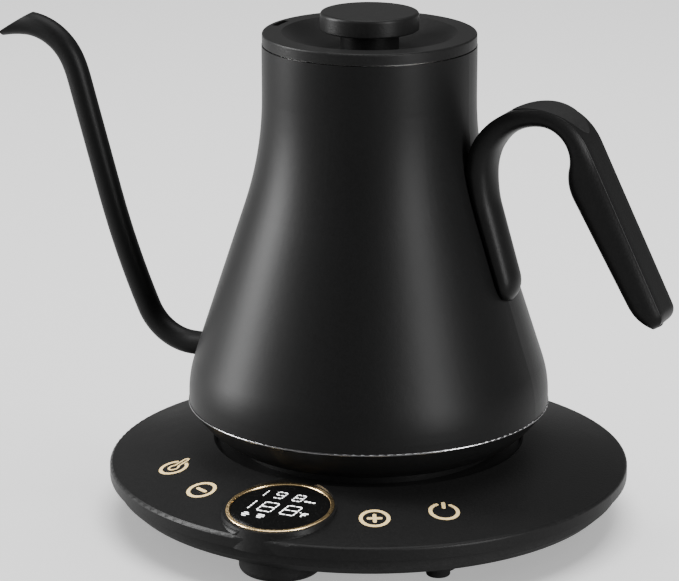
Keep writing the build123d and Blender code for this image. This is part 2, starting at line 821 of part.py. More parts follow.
def make_element_pins():
    """Cold pins at the element's two ends."""
    pins = []
    for sign in (-1, 1):
        spin = radians(sign * element_gap_angle / 2)
        heading = Vector(-sin(spin), cos(spin), 0) * (-sign)
        end = Vector(element_ring_r * cos(spin), element_ring_r * sin(spin), element_level())
        start = end + heading * fit_gap
        pin = Plane(origin=start, z_dir=heading) * Cylinder(1.5, 6.0, align=CENTRE)
        pins.append(pin)
    return pins


def make_probe():
    """Temperature probe through the floor, with its nut flange below."""
    tip = disc(sensor_r, floor_z - 8.5, 8.5 + 11.0, sensor_x)
    tip = fillet(tip.edges().group_by(Axis.Z)[-1], 1.6)
    return tip


def make_probe_gasket():
    return tube(sensor_r + 0.05, sensor_r + 2.6, floor_z + 0.05, 1.2, sensor_x)


def make_thermal_cutout():
    """Two bimetal cut-outs pressed against the spreader."""
    parts = []
    for x in (-14, 0):
        can = disc(6.0, spreader_z() - fit_gap - 4.2, 4.2, x, 12)
        legs = bar(1.0, 4.0, 2.0, x - 3, 12, spreader_z() - fit_gap - 6.0)
        legs += bar(1.0, 4.0, 2.0, x + 3, 12, spreader_z() - fit_gap - 6.0)
        parts.append(can + legs)
    return parts


# ---- connector plug -------------------------------------------------------
def plug_top_z():
    return socket_top_z + rest_gap + plug_wall


def make_connector_plug():
    """Kettle side of the round connector, a cap over the socket."""
    inner = socket_r + plug_gap
    outer = inner + plug_wall
    foot = cover_foot_z + 0.6
    cap = disc(outer, foot, plug_top_z() - foot) - disc(inner, foot - 1, socket_top_z + rest_gap - foot + 1)
    flange_z = cover_foot_z + cover_wall + rest_gap
    cap += tube(outer - 0.5, outer + plug_play + plug_flange_w, flange_z, plug_flange_t)
    cap -= disc(pin_r, foot, 60)
    for radius in (slot_in_r, slot_out_r):
        middle = radius + slot_w / 2
        cap -= tube(middle - contact_t / 2, middle + contact_t / 2, foot, 60)
        for x, y in ring_places(middle, 3, 30):
            cap += disc(1.6, socket_top_z + rest_gap, plug_wall, x, y)
    return cap


def make_contact_pin():
    pin = disc(pin_r - 0.05, socket_top_z - 8, plug_top_z() - socket_top_z + 8.0)
    return chamfer(pin.edges().group_by(Axis.Z)[0], 0.8)


def make_contact_rings():
    """Two contact rings that hang into the socket's slots."""
    rings = []
    for radius in (slot_in_r, slot_out_r):
        middle = radius + slot_w / 2
        ring = tube(middle - 0.3, middle + 0.3, socket_top_z - 3.0, rest_gap + 3.0 - 0.02)
        rings.append(ring)
    return rings


# ---- handle ---------------------------------------------------------------
def strap_points():
    """Foot of the strap's outer face, its turn, the centre of the turn's arc and its angle."""
    foot = at(vessel_x(strap_foot_z) + strap_t, strap_foot_z)
    turn = at(vessel_x(strap_turn_z) + strap_turn_t, strap_turn_z)
    angle = degrees(atan2(foot.X - turn.X, turn.Z - foot.Z))
    return foot, turn, around(turn, strap_turn_r, angle), angle


def arch_centre():
    """Centre of the arch's inner round, over the finger space."""
    return around(strap_points()[2], strap_turn_r, 180) + Vector(arch_in_r, 0, 0)


def outer_centre():
    """Centre of the arch's outer round."""
    return arch_centre() + Vector(arch_out_shift, 0, arch_out_rise)


def crest_centre():
    """Centre of the tighter round that leads into the grip's back."""
    return outer_centre() + Vector(0, 0, arch_out_r - arch_back_r)


def handle_outline():
    """Side outline of the handle in the plane y = 0."""
    first, second, centre, strap_angle = strap_points()
    edges = [Line(first, second), bow(centre, strap_turn_r, 180 + strap_angle, 180)]
    crown = arch_centre()
    edges.append(bow(crown, arch_in_r, 180, 90))
    top = around(crown, arch_in_r, 90)
    hook = top - Vector(0, 0, arch_hook_r)
    edges.append(bow(hook, arch_hook_r, 90, -arch_hook_extra))
    knee = around(hook, arch_hook_r, -arch_hook_extra)
    swell = around(knee, swell_r, -arch_hook_extra)
    edges.append(bow(swell, swell_r, 180 - arch_hook_extra, 180 + grip_in_angle))
    fall = around(swell, swell_r, 180 + grip_in_angle)
    low_in = fall + Vector((fall.Z - grip_foot_z) * tan(radians(grip_in_angle)), 0, grip_foot_z - fall.Z)
    edges.append(Line(fall, low_in))
    crest = crest_centre()
    back = around(crest, arch_back_r, grip_out_angle)
    low_out = back + Vector((back.Z - grip_foot_z) * tan(radians(grip_out_angle)), 0, grip_foot_z - back.Z)
    edges.append(Line(low_in, low_out))
    edges.append(Line(low_out, back))
    edges.append(bow(crest, arch_back_r, grip_out_angle, 90))
    out_centre = outer_centre()
    edges.append(bow(out_centre, arch_out_r, 90, 180 - arch_root_angle))
    root = around(out_centre, arch_out_r, 180 - arch_root_angle)
    edges += chain([root, at(neck_r - 6, root.Z), first - Vector(2 * strap_t, 0, 0), first])
    return edges


def handle_blank(half_width):
    """The side outline given a width, without its rounds."""
    face = Face(Wire(handle_outline()))
    return extrude(face, amount=half_width, dir=(0, 1, 0), both=True)


def arch_band(low, high):
    """Strip along the arch's outer side, between two distances from it."""
    out_centre = outer_centre()
    crest = crest_centre()
    left, right = 140, grip_out_angle
    edges = [
        bow(out_centre, arch_out_r + high, left, 90),
        bow(crest, arch_back_r + high, 90, right),
        Line(around(crest, arch_back_r + high, right), around(crest, arch_back_r + low, right)),
        bow(crest, arch_back_r + low, right, 90),
        bow(out_centre, arch_out_r + low, 90, left),
        Line(around(out_centre, arch_out_r + low, left), around(out_centre, arch_out_r + high, left)),
    ]
    return extrude(Face(Wire(edges)), amount=handle_w, dir=(0, 1, 0), both=True)


def rest_prism(grow):
    """Upright prism with the thumb rest's leaf outline."""
    middle = outer_centre() + Vector(rest_shift, 0, 0)
    leaf = Pos(*middle) * Ellipse(rest_half_l + grow, rest_half_w + grow)
    return extrude(leaf, amount=60)


def make_thumb_rest():
    return arch_band(-rest_depth + fit_gap / 2, rest_proud) & rest_prism(0)


def tongue_centre():
    return outer_centre() + Vector(tongue_shift, 0, tongue_rise)


def tongue(grow):
    """Curved arm of the bracket that runs up inside the arch."""
    centre = tongue_centre()
    low = tongue_r - tongue_t / 2 - grow
    high = tongue_r + tongue_t / 2 + grow
    spread = degrees(grow / tongue_r)
    start, end = tongue_start + spread, tongue_end - spread
    edges = [
        bow(centre, high, start, end),
        Line(around(centre, high, end), around(centre, low, end)),
        bow(centre, low, end, start),
        Line(around(centre, low, start), around(centre, high, start)),
    ]
    return extrude(Face(Wire(edges)), amount=tongue_w / 2 + grow, dir=(0, 1, 0), both=True)


def bracket_plate(grow):
    """Plate of the bracket, laid on the vessel's side, and the block that joins it to the arm."""
    arm_start = around(tongue_centre(), tongue_r, tongue_start)
    bridge_z = arm_start.Z - bridge_drop
    side = vessel_solid(-fit_gap - bracket_t - grow) - vessel_solid(-fit_gap + grow)
    height = bridge_z + bridge_cover - bracket_foot_z + 2 * grow
    slab = bar(40, bracket_w + 2 * grow, height, 60, 0, bracket_foot_z - grow)
    inside = vessel_x(bridge_z) - bridge_sink
    outside = arm_start.X + bridge_lap + grow / 2
    width = tongue_w + 2 * grow
    middle = (inside + outside) / 2
    bridge = bar(outside - inside, width, bridge_h + 2 * grow, middle, 0, bridge_z - grow)
    return (side & slab) + (bridge - vessel_solid(-fit_gap + grow))


def make_bracket():
    plate = bracket_plate(0) + tongue(0)
    for angle in tongue_screw_angles:
        plate -= tongue_axis(angle) * Cylinder(screw_r + fit_gap, 60)
    return plate


def tongue_axis(angle):
    """Plane across the arch, its normal pointing away from the finger space."""
    centre = tongue_centre()
    return Plane(origin=around(centre, tongue_r, angle), z_dir=around(Vector(0, 0, 0), 1, angle))


def make_handle_screws(grow):
    """Screws from the arch's finger side, through the bracket's arm."""
    screws = []
    head_foot = -tongue_t / 2 - 1.2 - grow
    for angle in tongue_screw_angles:
        axis = tongue_axis(angle)
        head_r = screw_head_r - 0.2 + grow
        head = axis * Pos(0, 0, head_foot - 1.0) * Cylinder(head_r, 1.2 + grow, align=CENTRE)
        shank = axis * Pos(0, 0, head_foot) * Cylinder(screw_r + grow, 3.6 + grow, align=CENTRE)
        screws.append(head + shank)
    return screws


def round_grip_foot(solid):
    """Rounds the two corners at the grip's free end."""
    for side, radius in ((1, 2.2), (0, 11.0)):
        corners = [
            edge
            for edge in solid.edges().filter_by(Axis.Y)
            if abs(edge.center().Z - grip_foot_z) < 0.1
        ]
        corners.sort(key=lambda edge: edge.center().X)
        solid = fillet([corners[side]], radius)
    return solid


def make_handle():
    blank = round_grip_foot(handle_blank(handle_w / 2))
    sides = [
        edge
        for edge in blank.edges()
        if abs(edge.center().Y) > handle_w / 2 - 0.1 and edge.center().X > neck_r + 2
    ]
    blank = fillet(sides, handle_round)
    foot_mid = strap_foot_z + handle_w / 2
    foot = bar(40, handle_w + 8, foot_mid - strap_foot_z + 10, foot_cut_x - 20, 0, strap_foot_z - 10)
    foot -= Pos(foot_cut_x - 20, 0, foot_mid) * Rot(0, 90, 0) * Cylinder(handle_w / 2, 60)
    blank -= foot
    blank -= vessel_solid(-fit_gap)
    blank -= bracket_plate(fit_gap)
    blank -= tongue(fit_gap)
    blank -= arch_band(-rest_depth, 20) & rest_prism(fit_gap)
    for screw in make_handle_screws(fit_gap / 2):
        blank -= screw
    for angle in tongue_screw_angles:
        way = 30 - tongue_t / 2 - 1.3
        blank -= tongue_axis(angle) * Pos(0, 0, -30) * Cylinder(screw_head_r, way, align=CENTRE)
    return blank


# ---- lid --------------------------------------------------------------------
def dish_line(inset, out_r, in_r):
    """The dish's curve from its rim to the stem, moved down by inset."""
    low = lid_top_z - dish_depth
    middle = at((out_r + in_r) / 2, (lid_top_z + low) / 2 - dish_sag - inset)
    return ThreePointArc(at(out_r, lid_top_z - inset), middle, at(in_r, low - inset))


def make_lid_cap():
    """The lid's outer part: edge band, flat ring and dish."""
    low = lid_top_z - dish_depth
    band_in = lid_r - lid_wall
    hub = stem_r + 1.5
    hole = screw_r + 0.3
    profile = [
        *chain([at(lid_r, lid_z), at(lid_r, lid_top_z), at(lid_ring_in_r, lid_top_z)]),
        dish_line(0, lid_ring_in_r, hub),
        *chain([at(hub, low), at(hole, low), at(hole, low - lid_wall), at(hub, low - lid_wall)]),
    ]
    profile += [
        ThreePointArc(
            at(hub, low - lid_wall),
            at((lid_ring_in_r + hub) / 2, (lid_top_z + low) / 2 - dish_sag - lid_wall),
            at(lid_ring_in_r - 0.4, lid_top_z - lid_wall),
        )
    ]
    profile += chain([at(lid_ring_in_r - 0.4, lid_top_z - lid_wall), at(band_in, lid_top_z - lid_wall)])
    profile += chain([at(band_in, lid_top_z - lid_wall), at(band_in, lid_z), at(lid_r, lid_z)])
    cap = turned(profile)
    rim = cap.edges().filter_by(GeomType.CIRCLE).group_by(Axis.Z)[-1].sort_by(SortBy.RADIUS)
    cap = fillet([rim[-1]], 0.7)
    rim = cap.edges().filter_by(GeomType.CIRCLE).group_by(Axis.Z)[-1].sort_by(SortBy.RADIUS)
    cap = fillet([rim[0]], 0.3)
    return cap - vent_slot()


def vent_slot():
    """Steam slot through the flat ring, on the spout's side."""
    half = vent_angle / 2
    slot = tube(vent_ring_r - vent_w / 2, vent_ring_r + vent_w / 2, lid_z, 10)
    wedge = Polyline((0, 0), (-80, -80 * tan(radians(half))), (-80, 80 * tan(radians(half))), close=True)
    return slot & (Pos(0, 0, lid_z - 5) * extrude(make_face(wedge), amount=20))


def make_lid_stem():
    low = lid_top_z - dish_depth
    return tube(screw_r + 0.4, stem_r, low + 0.02, knob_top_z - knob_t - low - 0.04)


def make_lid_knob():
    knob = disc(knob_r, knob_top_z - knob_t, knob_t)
    knob = fillet(knob.edges().group_by(Axis.Z)[-1], knob_round)
    knob = fillet(knob.edges().filter_by(GeomType.CIRCLE).group_by(Axis.Z)[0], 0.6)
    return knob - disc(screw_r + 0.02, knob_top_z - knob_t - 1, knob_t - 1.4)


def make_lid_screw():
    low = lid_top_z - dish_depth - lid_wall
    head = disc(screw_head_r + 0.6, low - 0.02 - screw_head_h, screw_head_h)
    head -= bar(0.8, screw_head_r * 1.3, 1.6, 0, 0, low - 0.9 - screw_head_h)
    return head + disc(screw_r, low - 0.02, knob_top_z - knob_t + 4 - low)


def make_lid_inner_cover():
    """Plug of the lid inside the neck, with steam holes."""
    top = lid_z + 0.9
    foot = top - lid_plug_depth
    shell = disc(plug_r, foot, lid_plug_depth) - disc(plug_r - 1.2, foot + 1.2, lid_plug_depth)
    shell = fillet(shell.edges().filter_by(GeomType.CIRCLE).group_by(Axis.Z)[0], 1.0)
    shell += disc(screw_head_r + 2.4, foot + 0.6, 2.0)
    groove = tube(plug_r - 0.6, plug_r + 1, seal_z(), seal_h)
    shell -= groove
    for x, y in ring_places(plug_r - 8, 8):
        shell -= disc(1.6, foot - 1, 4, x, y)
    return shell


def seal_z():
    return lid_z - 8.0


def make_lid_seal():
    """Silicone ring of the lid, with two lips."""
    inner = plug_r - 0.5
    outer = neck_r - body_wall - rest_gap
    ring = tube(inner, plug_r + 0.1, seal_z() + 0.05, seal_h - 0.1)
    for z in (seal_z() + 0.05, seal_z() + seal_h - 0.05 - 0.8):
        ring += tube(inner, outer, z, 0.8)
    return ring


def main():
    save("base_top_cover", make_base_top_cover())
    save("base_bottom_cover", make_base_bottom_cover())
    trim, lens, module = make_display()
    save("display_trim_ring", trim)
    save("display_lens", lens)
    save("display_module", module)
    for name in icon_table:
        save("touch_icon_" + name, icon_solid(name))
    save("touch_board", make_touch_board())
    save("touch_springs", make_touch_springs())
    save("buzzer", make_buzzer())
    save("power_board", make_power_board())
    save("relay", make_relay())
    save("transformer", make_transformer())
    save("capacitor", make_capacitor())
    save("power_socket", make_power_socket())
    save("socket_contacts", make_socket_contacts())
    flange_foot = seat_z - plate_wall - fit_gap - socket_flange_t
    save("socket_screws", make_screws(socket_screw_places(), flange_foot - screw_head_h, 3.2, 2.0, 1.0))
    case_head_z = boss_split_z - 5.0 - screw_head_h
    case_places = ring_places(case_screw_ring_r, case_screw_count, case_screw_first)
    save("case_screws", make_screws(case_places, case_head_z, 12.0, screw_head_r, screw_r))
    save("rubber_feet", make_feet())
    save("cord_gland", make_cord_gland())
    save("kettle_body", make_kettle_body())
    save("rim_band", make_rim_band())
    save("spout", make_spout())
    save("spout_strainer", make_strainer())
    save("heating_plate", make_heating_plate())
    save("heat_spreader", make_heat_spreader())
    save("heating_element", make_element())
    save("element_pins", make_element_pins())
    save("temperature_probe", make_probe())
    save("probe_gasket", make_probe_gasket())
    save("thermal_cutouts", make_thermal_cutout())
    save("kettle_base_cover", make_kettle_base_cover())
    cover_places = ring_places(cover_screw_ring_r, cover_screw_count, 60)
    cover_head_z = cover_foot_z + 2.6 - screw_head_h
    save("cover_screws", make_screws(cover_places, cover_head_z, 5.5, screw_head_r, screw_r - 0.2))
    save("connector_plug", make_connector_plug())
    save("contact_pin", make_contact_pin())
    save("contact_rings", make_contact_rings())
    save("handle", make_handle())
    save("thumb_rest", make_thumb_rest())
    save("handle_bracket", make_bracket())
    save("handle_screws", make_handle_screws(0))
    save("lid_cap", make_lid_cap())
    save("lid_stem", make_lid_stem())
    save("lid_knob", make_lid_knob())
    save("lid_screw", make_lid_screw())
    save("lid_inner_cover", make_lid_inner_cover())
    save("lid_seal", make_lid_seal())


os.makedirs("parts", exist_ok=True)
main()
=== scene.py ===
import json
import math

import bmesh
import bpy
from mathutils import Matrix, Vector


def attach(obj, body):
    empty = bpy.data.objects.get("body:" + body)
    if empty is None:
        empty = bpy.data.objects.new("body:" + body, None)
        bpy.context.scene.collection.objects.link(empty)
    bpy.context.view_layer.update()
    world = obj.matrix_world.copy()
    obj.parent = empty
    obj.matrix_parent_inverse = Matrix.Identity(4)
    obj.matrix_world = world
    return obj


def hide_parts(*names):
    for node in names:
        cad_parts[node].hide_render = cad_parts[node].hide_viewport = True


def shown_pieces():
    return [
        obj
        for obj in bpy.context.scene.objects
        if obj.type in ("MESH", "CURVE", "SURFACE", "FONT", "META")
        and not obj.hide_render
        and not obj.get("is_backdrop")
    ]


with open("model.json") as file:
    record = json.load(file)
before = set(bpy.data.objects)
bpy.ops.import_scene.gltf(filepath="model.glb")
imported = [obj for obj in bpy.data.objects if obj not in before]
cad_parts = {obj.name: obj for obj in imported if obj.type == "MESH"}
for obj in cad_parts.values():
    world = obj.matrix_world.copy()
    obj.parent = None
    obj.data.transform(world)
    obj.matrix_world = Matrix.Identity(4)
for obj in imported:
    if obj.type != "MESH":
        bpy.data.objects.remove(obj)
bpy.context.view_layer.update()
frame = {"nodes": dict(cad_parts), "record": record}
nodes = frame["nodes"]
mm = 0.001
print("frame loaded:", len(nodes), "nodes")


camera = {
    "target": (-0.01015, -0.00473, 0.0886),
    "azimuth": 25.0,                          # degrees round from the display's side
    "elevation": 16.56,
    "distance": 1.194,
    "lens": 165.9,
    "sensor": 36.0,
    "clip": 10,
}


def makeCamera():
    data = bpy.data.cameras.new("camera")
    data.lens = camera["lens"]
    data.sensor_width = camera["sensor"]
    data.clip_end = camera["clip"]
    view = bpy.data.objects.new("camera", data)
    bpy.context.scene.collection.objects.link(view)
    around = math.radians(camera["azimuth"])
    above = math.radians(camera["elevation"])
    back = Vector((math.sin(around) * math.cos(above), -math.cos(around) * math.cos(above), math.sin(above)))
    target = Vector(camera["target"])
    view.location = target + back * camera["distance"]
    view.rotation_euler = back.to_track_quat("Z", "Y").to_euler()
    bpy.context.scene.camera = view


lights = {
    # name: place, aimed at, size, power, whether it lights the floor
    "leftPanel": {
        "at": (-1.05, -0.35, 0.55), "to": (0, 0, 0.09), "size": (0.35, 1.1), "power": 85, "onFloor": False,
    },
    "rightPanel": {
        "at": (1.1, -0.45, 0.5), "to": (0, 0, 0.09), "size": (0.3, 1.1), "power": 48, "onFloor": False,
    },
    "topPanel": {
        "at": (0.0, 0.2, 1.5), "to": (0, 0, 0.1), "size": (1.2, 1.2), "power": 34, "onFloor": True,
    },
}
worldLook = {"tone": (1, 1, 1, 1), "strength": 0.3}


def makeLights():
    # the side panels are shaded off the floor, as with flags in a studio
    offFloor = bpy.data.collections.new("offFloor")
    for name, light in lights.items():
        data = bpy.data.lights.new(name, "AREA")
        data.shape = "RECTANGLE"
        data.size, data.size_y = light["size"]
        data.energy = light["power"]
        lamp = bpy.data.objects.new(name, data)
        bpy.context.scene.collection.objects.link(lamp)
        lamp.location = light["at"]
        toward = Vector(light["to"]) - Vector(light["at"])
        lamp.rotation_euler = toward.to_track_quat("-Z", "Y").to_euler()
        if not light["onFloor"]:
            lamp.light_linking.receiver_collection = offFloor
    world = bpy.data.worlds.new("studio")
    bpy.context.scene.world = world
    world.use_nodes = True
    air = world.node_tree.nodes["Background"]
    air.inputs["Color"].default_value = worldLook["tone"]
    air.inputs["Strength"].default_value = worldLook["strength"]
    return offFloor


class Wire:
    # one socket, so that sums on sockets can be written plainly
    def __init__(self, paint, socket):
        self.paint = paint
        self.socket = socket

    def sum(self, operation, *values):
        return self.paint.node("ShaderNodeMath", {"operation": operation}, list(values))

    def __add__(self, other):
        return self.sum("ADD", self, other)

    def __sub__(self, other):
        return self.sum("SUBTRACT", self, other)

    def __rsub__(self, other):
        return self.sum("SUBTRACT", other, self)

    def __mul__(self, other):
        return self.sum("MULTIPLY", self, other)

    __radd__ = __add__
    __rmul__ = __mul__


class Paint:
    def __init__(self, name):
        self.material = bpy.data.materials.new(name)
        self.material.use_nodes = True
        self.tree = self.material.node_tree
        self.surface = self.tree.nodes["Principled BSDF"]

    def put(self, socket, value):
        if isinstance(value, Wire):
            self.tree.links.new(value.socket, socket)
        else:
            socket.default_value = value

    def node(self, kind, settings, values=(), out=0):
        made = self.tree.nodes.new(kind)
        for key, value in settings.items():
            setattr(made, key, value)
        pairs = values.items() if isinstance(values, dict) else enumerate(values)
        for key, value in pairs:
            self.put(made.inputs[key], value)
        return Wire(self, made.outputs[out])

    def place(self):
        return self.node("ShaderNodeTexCoord", {}, out="Object")

    def noise(self, scale, detail=2.0, rough=0.5, stretch=(1, 1, 1)):
        where = self.node("ShaderNodeMapping", {}, {"Vector": self.place(), "Scale": stretch})
        values = {"Vector": where, "Scale": scale, "Detail": detail, "Roughness": rough}
        return self.node("ShaderNodeTexNoise", {}, values)

    def fade(self, value, low, high, start=0.0, end=1.0):
        values = {"Value": value, "From Min": start, "From Max": end, "To Min": low, "To Max": high}
        return self.node("ShaderNodeMapRange", {}, values)

    def mix(self, factor, first, second):
        # the colour sockets of a Mix node come after those for numbers and vectors
        values = {0: factor, 6: first, 7: second}
        return self.node("ShaderNodeMix", {"data_type": "RGBA"}, values, out=2)

    def bump(self, height, depth):
        return self.node("ShaderNodeBump", {}, {"Height": height, "Distance": depth, "Strength": 1.0})

    def finish(self, **values):
        for key, value in values.items():
            self.put(self.surface.inputs[key], value)
        return self.material


def toRgb(grey, warm=0.0):
    return (grey * (1 + warm), grey, grey * (1 - warm), 1)


coatLooks = {
    # painted metal: tone, roughness, grain size (per metre), grain depth, patchiness
    "bodyPaint": {"tone": 0.0026, "rough": 0.42, "grain": 1900, "depth": 0.000045, "patch": 0.045},
}


def paintedSteel(name):
    # matte black powder coat: a fine orange peel over a finer grain
    look = coatLooks[name]
    p = Paint(name)
    grain = p.noise(look["grain"], 3.0, 0.6)
    peel = p.noise(look["grain"] / 5, 1.0, 0.4)
    patches = p.noise(22, 3.0, 0.55)
    height = grain * 0.75 + peel * 0.5
    tone = look["tone"]
    shade = p.mix(p.fade(grain, 0, 1, 0.35, 0.65), toRgb(tone * 0.8), toRgb(tone * 1.25, -0.01))
    rough = look["rough"] + look["patch"] * (patches - 0.5) + 0.05 * (grain - 0.5)
    return p.finish(**{
        "Base Color": shade, "Roughness": rough, "Normal": p.bump(height, look["depth"]),
        "IOR": 1.5, "Specular IOR Level": 0.06,
    })


plasticLooks = {
    "plateBlack": {"tone": 0.0040, "rough": 0.42, "grain": 1500, "depth": 0.00005, "smear": 0.05},
    "shellGrey": {"tone": 0.0060, "rough": 0.55, "grain": 1100, "depth": 0.00006, "smear": 0.03},
    "handleBlack": {"tone": 0.0030, "rough": 0.40, "grain": 1700, "depth": 0.00004, "smear": 0.05},
    "thumbRest": {"tone": 0.0065, "rough": 0.58, "grain": 1300, "depth": 0.00007, "smear": 0.03},
    "lidBlack": {"tone": 0.0040, "rough": 0.42, "grain": 1600, "depth": 0.00004, "smear": 0.04},
    "knobBlack": {"tone": 0.0040, "rough": 0.40, "grain": 1600, "depth": 0.00004, "smear": 0.05},
    "coverBlack": {"tone": 0.0035, "rough": 0.38, "grain": 1500, "depth": 0.00003, "smear": 0.04},
    "connectorPlastic": {"tone": 0.012, "rough": 0.5, "grain": 1400, "depth": 0.00004, "smear": 0.03},
    "boardPlastic": {"tone": 0.03, "rough": 0.5, "grain": 1400, "depth": 0.00003, "smear": 0.02},
    "rubberBlack": {"tone": 0.006, "rough": 0.75, "grain": 900, "depth": 0.00008, "smear": 0.04},
    "silicone": {"tone": 0.62, "rough": 0.5, "grain": 900, "depth": 0.00004, "smear": 0.05},
}


def mouldedPlastic(name):
    # fine spark texture, a few lighter specks, and faint marks left by hands
    look = plasticLooks[name]
    p = Paint(name)
    spark = p.node("ShaderNodeTexVoronoi", {}, {"Vector": p.place(), "Scale": look["grain"]})
    grain = p.noise(look["grain"] * 0.7, 2.0, 0.6)
    hands = p.noise(30, 4.0, 0.6, (1, 1, 1.6))
    tone = look["tone"]
    shade = p.mix(p.fade(grain, 0, 1, 0.3, 0.7), toRgb(tone * 0.85), toRgb(tone * 1.2))
    worn = p.fade(hands, 0, 1, 0.52, 0.72)
    rough = look["rough"] + 0.06 * (grain - 0.5) - look["smear"] * worn
    height = spark * 0.5 + grain * 0.8
    return p.finish(**{
        "Base Color": shade, "Roughness": rough, "Normal": p.bump(height, look["depth"]),
        "IOR": 1.5, "Specular IOR Level": 0.06,
    })


metalLooks = {
    # tone, roughness, brush lines (per metre) and which way they are stretched
    "goldTrim": {
        "tone": (0.80, 0.58, 0.29, 1), "rough": 0.27, "lines": 900,
        "way": (1, 1, 30), "depth": 0.00001,
    },
    "polishedSteel": {
        "tone": (0.16, 0.16, 0.165, 1), "rough": 0.2, "lines": 500,
        "way": (1, 1, 40), "depth": 0.00001,
    },
    "brushedInside": {
        "tone": (0.60, 0.59, 0.58, 1), "rough": 0.34, "lines": 260,
        "way": (1, 1, 24), "depth": 0.00003,
    },
    "springSteel": {
        "tone": (0.55, 0.55, 0.56, 1), "rough": 0.32, "lines": 700,
        "way": (1, 1, 8), "depth": 0.00002,
    },
    "screwSteel": {
        "tone": (0.50, 0.50, 0.52, 1), "rough": 0.30, "lines": 900,
        "way": (6, 1, 1), "depth": 0.00002,
    },
    "aluminium": {
        "tone": (0.72, 0.72, 0.73, 1), "rough": 0.40, "lines": 400,
        "way": (1, 14, 1), "depth": 0.00003,
    },
    "brassContact": {
        "tone": (0.76, 0.60, 0.30, 1), "rough": 0.28, "lines": 800,
        "way": (1, 1, 12), "depth": 0.00002,
    },
}


def metal(name):
    look = metalLooks[name]
    p = Paint(name)
    lines = p.noise(look["lines"], 3.0, 0.6, look["way"])
    dull = p.noise(90, 3.0, 0.6)
    tone = look["tone"]
    darker = (tone[0] * 0.82, tone[1] * 0.8, tone[2] * 0.78, 1)
    shade = p.mix(p.fade(dull, 0, 1, 0.35, 0.75), tone, darker)
    rough = look["rough"] + 0.14 * (lines - 0.5) + 0.1 * (dull - 0.5)
    return p.finish(**{
        "Base Color": shade, "Roughness": rough, "Metallic": 1.0,
        "Normal": p.bump(lines, look["depth"]),
    })


glassLook = {"tone": 0.0022, "rough": 0.07, "wipe": 0.05, "shine": 0.1}


def displayGlass(name):
    # black window, polished, with the faintest wiping marks
    p = Paint(name)
    wipe = p.noise(70, 4.0, 0.6, (1, 3, 1))
    dust = p.noise(2500, 1.0, 0.5)
    shade = p.mix(p.fade(dust, 0, 1, 0.66, 0.8), toRgb(glassLook["tone"]), toRgb(0.02))
    rough = glassLook["rough"] + glassLook["wipe"] * p.fade(wipe, 0, 1, 0.45, 0.8)
    return p.finish(**{
        "Base Color": shade, "Roughness": rough, "IOR": 1.5, "Specular IOR Level": glassLook["shine"],
    })


inkLook = {"tone": (0.80, 0.60, 0.29, 1), "rough": 0.40, "lustre": 0.45}


def goldInk(name):
    p = Paint(name)
    flakes = p.node("ShaderNodeTexVoronoi", {}, {"Vector": p.place(), "Scale": 5200})
    fibre = p.noise(1600, 2.0)
    tone = inkLook["tone"]
    darker = (tone[0] * 0.8, tone[1] * 0.78, tone[2] * 0.72, 1)
    shade = p.mix(p.fade(flakes, 0, 1, 0.1, 0.8), tone, darker)
    return p.finish(**{
        "Base Color": shade, "Roughness": inkLook["rough"] + 0.2 * (fibre - 0.5),
        "Metallic": inkLook["lustre"] + 0.2 * (flakes - 0.5), "Normal": p.bump(flakes, 0.00001),
    })


boardLook = {"tone": (0.012, 0.10, 0.035, 1), "track": (0.03, 0.20, 0.07, 1), "rough": 0.42}


def circuitBoard(name):
    # solder mask over copper tracks that run in straight lanes
    p = Paint(name)
    lanes = p.node("ShaderNodeTexBrick", {"offset": 0.35}, {
        "Vector": p.place(), "Scale": 260.0, "Mortar Size": 0.09,
        "Color1": (0, 0, 0, 1), "Color2": (0, 0, 0, 1), "Mortar": (1, 1, 1, 1),
    }, out="Fac")
    weave = p.noise(2400, 2.0)
    shade = p.mix(lanes, boardLook["tone"], boardLook["track"])
    return p.finish(**{
        "Base Color": shade, "Roughness": boardLook["rough"] + 0.12 * (weave - 0.5),
        "Normal": p.bump(lanes, 0.00004),
    })


digitLook = {"strength": 1.3, "rough": 0.4}


def litSegment(name):
    p = Paint(name)
    grain = p.noise(3000, 1.0)
    shade = p.mix(grain, (1, 1, 1, 1), (0.93, 0.95, 0.97, 1))
    return p.finish(**{
        "Base Color": toRgb(0.8), "Roughness": digitLook["rough"] + 0.1 * grain,
        "Emission Color": shade, "Emission Strength": digitLook["strength"],
    })


finishes = {
    "plate_black": mouldedPlastic("plateBlack"), "shell_grey": mouldedPlastic("shellGrey"),
    "gold_trim": metal("goldTrim"), "display_glass": displayGlass("displayGlass"),
    "gold_ink": goldInk("goldInk"), "board_plastic": mouldedPlastic("boardPlastic"),
    "circuit_board": circuitBoard("circuitBoard"), "spring_steel": metal("springSteel"),
    "aluminium_can": metal("aluminium"), "connector_plastic": mouldedPlastic("connectorPlastic"),
    "brass_contact": metal("brassContact"), "screw_steel": metal("screwSteel"),
    "rubber_black": mouldedPlastic("rubberBlack"), "body_paint": paintedSteel("bodyPaint"),
    "polished_steel": metal("polishedSteel"), "brushed_inside": metal("brushedInside"),
    "silicone": mouldedPlastic("silicone"), "cover_black": mouldedPlastic("coverBlack"),
    "handle_black": mouldedPlastic("handleBlack"), "thumb_rest_black": mouldedPlastic("thumbRest"),
    "lid_black": mouldedPlastic("lidBlack"), "knob_black": mouldedPlastic("knobBlack"),
}


def dressNodes():
    for part in frame["record"]["subparts"]:
        thing = nodes[part["node"]]
        thing.data.materials.clear()
        thing.data.materials.append(finishes[part["material_slot"]])


def addPiece(name, mesh, finish, body, smooth=None):
    piece = bpy.data.objects.new(name, mesh)
    bpy.context.scene.collection.objects.link(piece)
    mesh.materials.append(finish)
    if smooth:
        mesh.shade_smooth()
        mesh.set_sharp_from_angle(angle=math.radians(smooth))
    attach(piece, body)
    return piece


